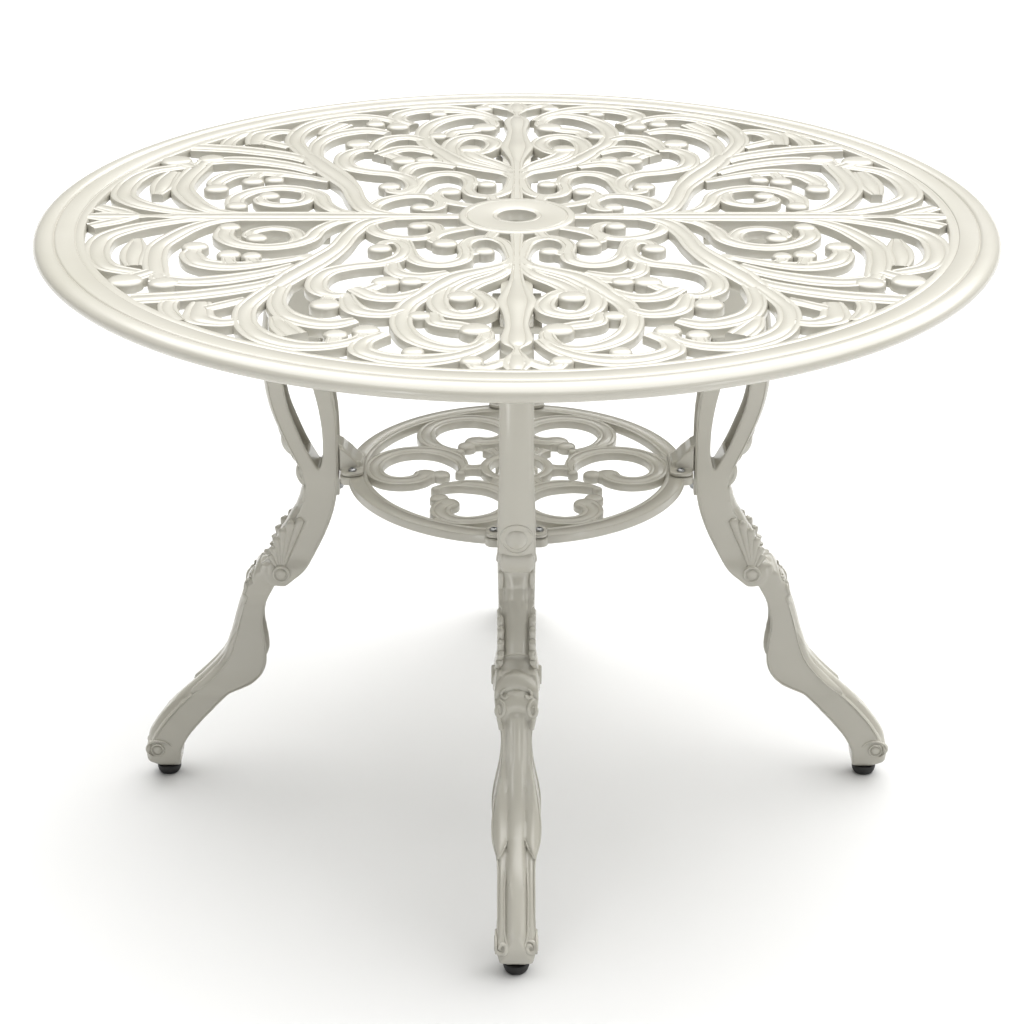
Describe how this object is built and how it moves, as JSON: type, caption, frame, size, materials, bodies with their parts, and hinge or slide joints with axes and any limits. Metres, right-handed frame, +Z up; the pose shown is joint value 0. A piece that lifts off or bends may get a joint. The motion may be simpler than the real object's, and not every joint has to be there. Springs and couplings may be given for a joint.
{
  "type": "umbrella table",
  "caption": "Round cast patio table with a pierced scroll top, umbrella hole, channel cabriole legs and a small pierced lower shelf.",
  "frame": {"origin": "on the floor, under the centre of the umbrella hole", "axes": "+Z up along the umbrella pole; the four legs stand along +X, -X, +Y and -Y, and the picture looks along +Y"},
  "size_m": [1.07, 1.07, 0.715],
  "materials": {
    "cast_paint": "satin cream powder coat on cast aluminium",
    "glide_black": "black moulded glide",
    "steel": "bright zinc-plated fasteners"
  },
  "bodies": {
    "root": {"tabletop_casting": "cast_paint", "shelf_casting": "cast_paint", "leg_front": "cast_paint", "foot_glide_front": "glide_black", "shelf_bracket_front": "cast_paint", "bracket_bolt_front": "steel", "shelf_screw_front_a": "steel", "shelf_screw_front_b": "steel", "leg_bolt_front_inner": "steel", "leg_bolt_front_outer": "steel", "leg_right": "cast_paint", "foot_glide_right": "glide_black", "shelf_bracket_right": "cast_paint", "bracket_bolt_right": "steel", "shelf_screw_right_a": "steel", "shelf_screw_right_b": "steel", "leg_bolt_right_inner": "steel", "leg_bolt_right_outer": "steel", "leg_back": "cast_paint", "foot_glide_back": "glide_black", "shelf_bracket_back": "cast_paint", "bracket_bolt_back": "steel", "shelf_screw_back_a": "steel", "shelf_screw_back_b": "steel", "leg_bolt_back_inner": "steel", "leg_bolt_back_outer": "steel", "leg_left": "cast_paint", "foot_glide_left": "glide_black", "shelf_bracket_left": "cast_paint", "bracket_bolt_left": "steel", "shelf_screw_left_a": "steel", "shelf_screw_left_b": "steel", "leg_bolt_left_inner": "steel", "leg_bolt_left_outer": "steel"}
  },
  "joints": []
}
